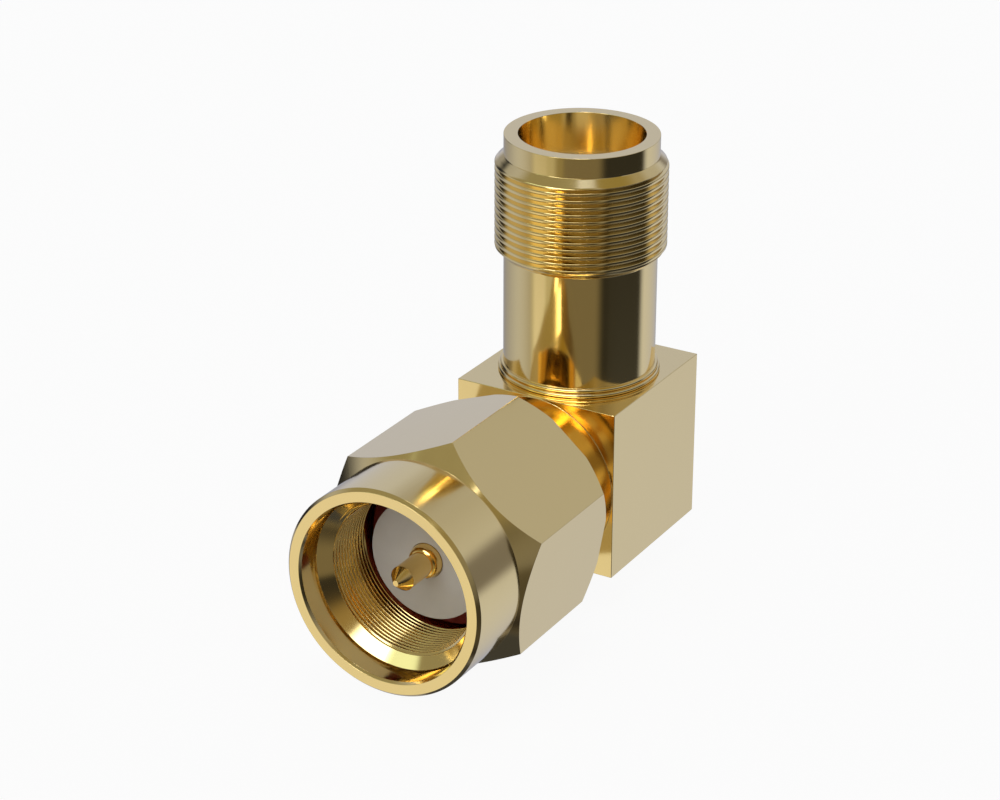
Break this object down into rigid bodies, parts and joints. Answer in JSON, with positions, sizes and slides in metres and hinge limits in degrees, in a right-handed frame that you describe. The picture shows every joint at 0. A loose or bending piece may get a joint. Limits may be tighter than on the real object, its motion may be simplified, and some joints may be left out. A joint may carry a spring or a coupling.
{
  "type": "right-angle coaxial adapter",
  "caption": "Right-angle coaxial adapter: a square elbow block with an outside-threaded jack on top and a plug with a captive, free-spinning hexagon nut in front.",
  "frame": {"origin": "centre of the jack's reference plane, the shoulder at the bottom of its bore", "axes": "+Z points out of the jack along its line, -Y points out of the plug along its line, and X is across both"},
  "size_m": [0.0086, 0.0171, 0.017],
  "materials": {
    "gold_plate": "polished gold plate",
    "contact_gold": "bright gold plate",
    "line_plastic": "matte",
    "gasket_rubber": "satin"
  },
  "bodies": {
    "adapter": {"body_block": "gold_plate", "jack_barrel": "gold_plate", "jack_insulator": "line_plastic", "jack_socket": "contact_gold", "plug_shell": "gold_plate", "plug_insulator": "line_plastic", "plug_pin": "contact_gold", "gasket": "gasket_rubber", "elbow_button": "line_plastic", "access_cap": "gold_plate"},
    "nut_ring": {"snap_ring": "gold_plate"},
    "nut": {"coupling_nut": "gold_plate"}
  },
  "joints": [
    {"name": "nut_float", "type": "slide", "parent": "adapter", "child": "nut_ring", "axis": [0, -1, 0], "range_m": [-0.00028, 0.00028]},
    {"name": "nut_spin", "type": "hinge", "parent": "nut_ring", "child": "nut", "pos_m": [0, -0.0075, -0.0106], "axis": [0, -1, 0], "continuous": true}
  ]
}
